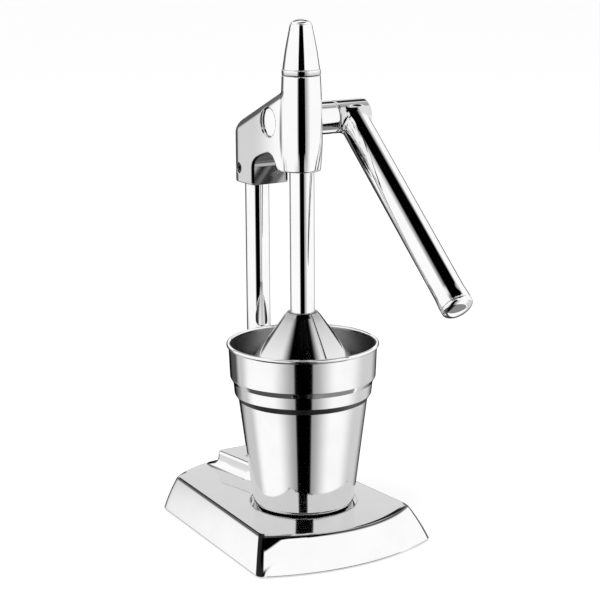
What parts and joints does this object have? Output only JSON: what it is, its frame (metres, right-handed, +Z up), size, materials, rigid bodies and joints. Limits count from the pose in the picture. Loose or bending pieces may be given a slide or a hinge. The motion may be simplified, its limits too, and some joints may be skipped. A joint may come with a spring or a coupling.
{
  "type": "lever citrus juice press",
  "caption": "Upright hand press for citrus: a lever turns a pinion that drives a ram and its press cone down into a loose steel cup on a heavy base.",
  "frame": {"origin": "middle of the whole press's box, on the table under the feet", "axes": "+Z up, -Y to the front where the lever's arm comes down, +X to the lever's side"},
  "size_m": [0.165, 0.2792, 0.4264],
  "materials": {
    "chrome": "polished chrome plate on castings and tube",
    "stainless": "bright polished stainless sheet",
    "steel": "bright turned steel",
    "black_steel": "black oxide",
    "bronze": "turned bearing bronze",
    "rubber": "matt black rubber"
  },
  "bodies": {
    "stand": {"base_casting": "chrome", "rubber_foot_front_left": "rubber", "rubber_foot_front_right": "rubber", "rubber_foot_rear_left": "rubber", "rubber_foot_rear_right": "rubber", "column": "chrome", "column_washer": "steel", "column_bolt": "steel", "head_casting": "chrome", "column_set_screw": "black_steel", "ram_guide_bush": "bronze", "shaft_bush_left": "chrome", "shaft_bush_right": "bronze", "top_guide_collar": "chrome", "top_cap": "chrome"},
    "lever": {"lever": "chrome", "lever_end_cap": "chrome", "lever_set_screw": "black_steel", "lever_washer": "steel", "lever_screw": "steel", "lever_shaft": "steel", "pinion_gear": "steel", "shaft_key": "steel"},
    "ram": {"ram": "chrome", "ram_rack": "steel", "rack_pin_lower": "steel", "rack_pin_upper": "steel", "press_bell": "chrome", "bell_washer": "steel", "bell_screw": "steel"},
    "cup": {"cup": "stainless"},
    "strainer": {"strainer": "stainless", "reamer": "stainless"}
  },
  "joints": [
    {"name": "lever_hinge", "type": "hinge", "parent": "stand", "child": "lever", "pos_m": [0, 0.02654, 0.3438], "axis": [-1, 0, 0], "range_deg": [0, 126]},
    {"name": "ram_slide", "type": "slide", "parent": "stand", "child": "ram", "axis": [0, 0, 1], "range_m": [0, 0.0297]},
    {"name": "cup_turn", "type": "hinge", "parent": "stand", "child": "cup", "pos_m": [0, 0.00187, 0.03], "axis": [0, 0, 1], "continuous": true},
    {"name": "strainer_lift", "type": "slide", "parent": "cup", "child": "strainer", "axis": [0, 0, 1], "range_m": [0, 0.008]}
  ],
  "couplings": [
    {"joint": "ram_slide", "follows": "lever_hinge", "m_per_rad": 0.0135}
  ]
}
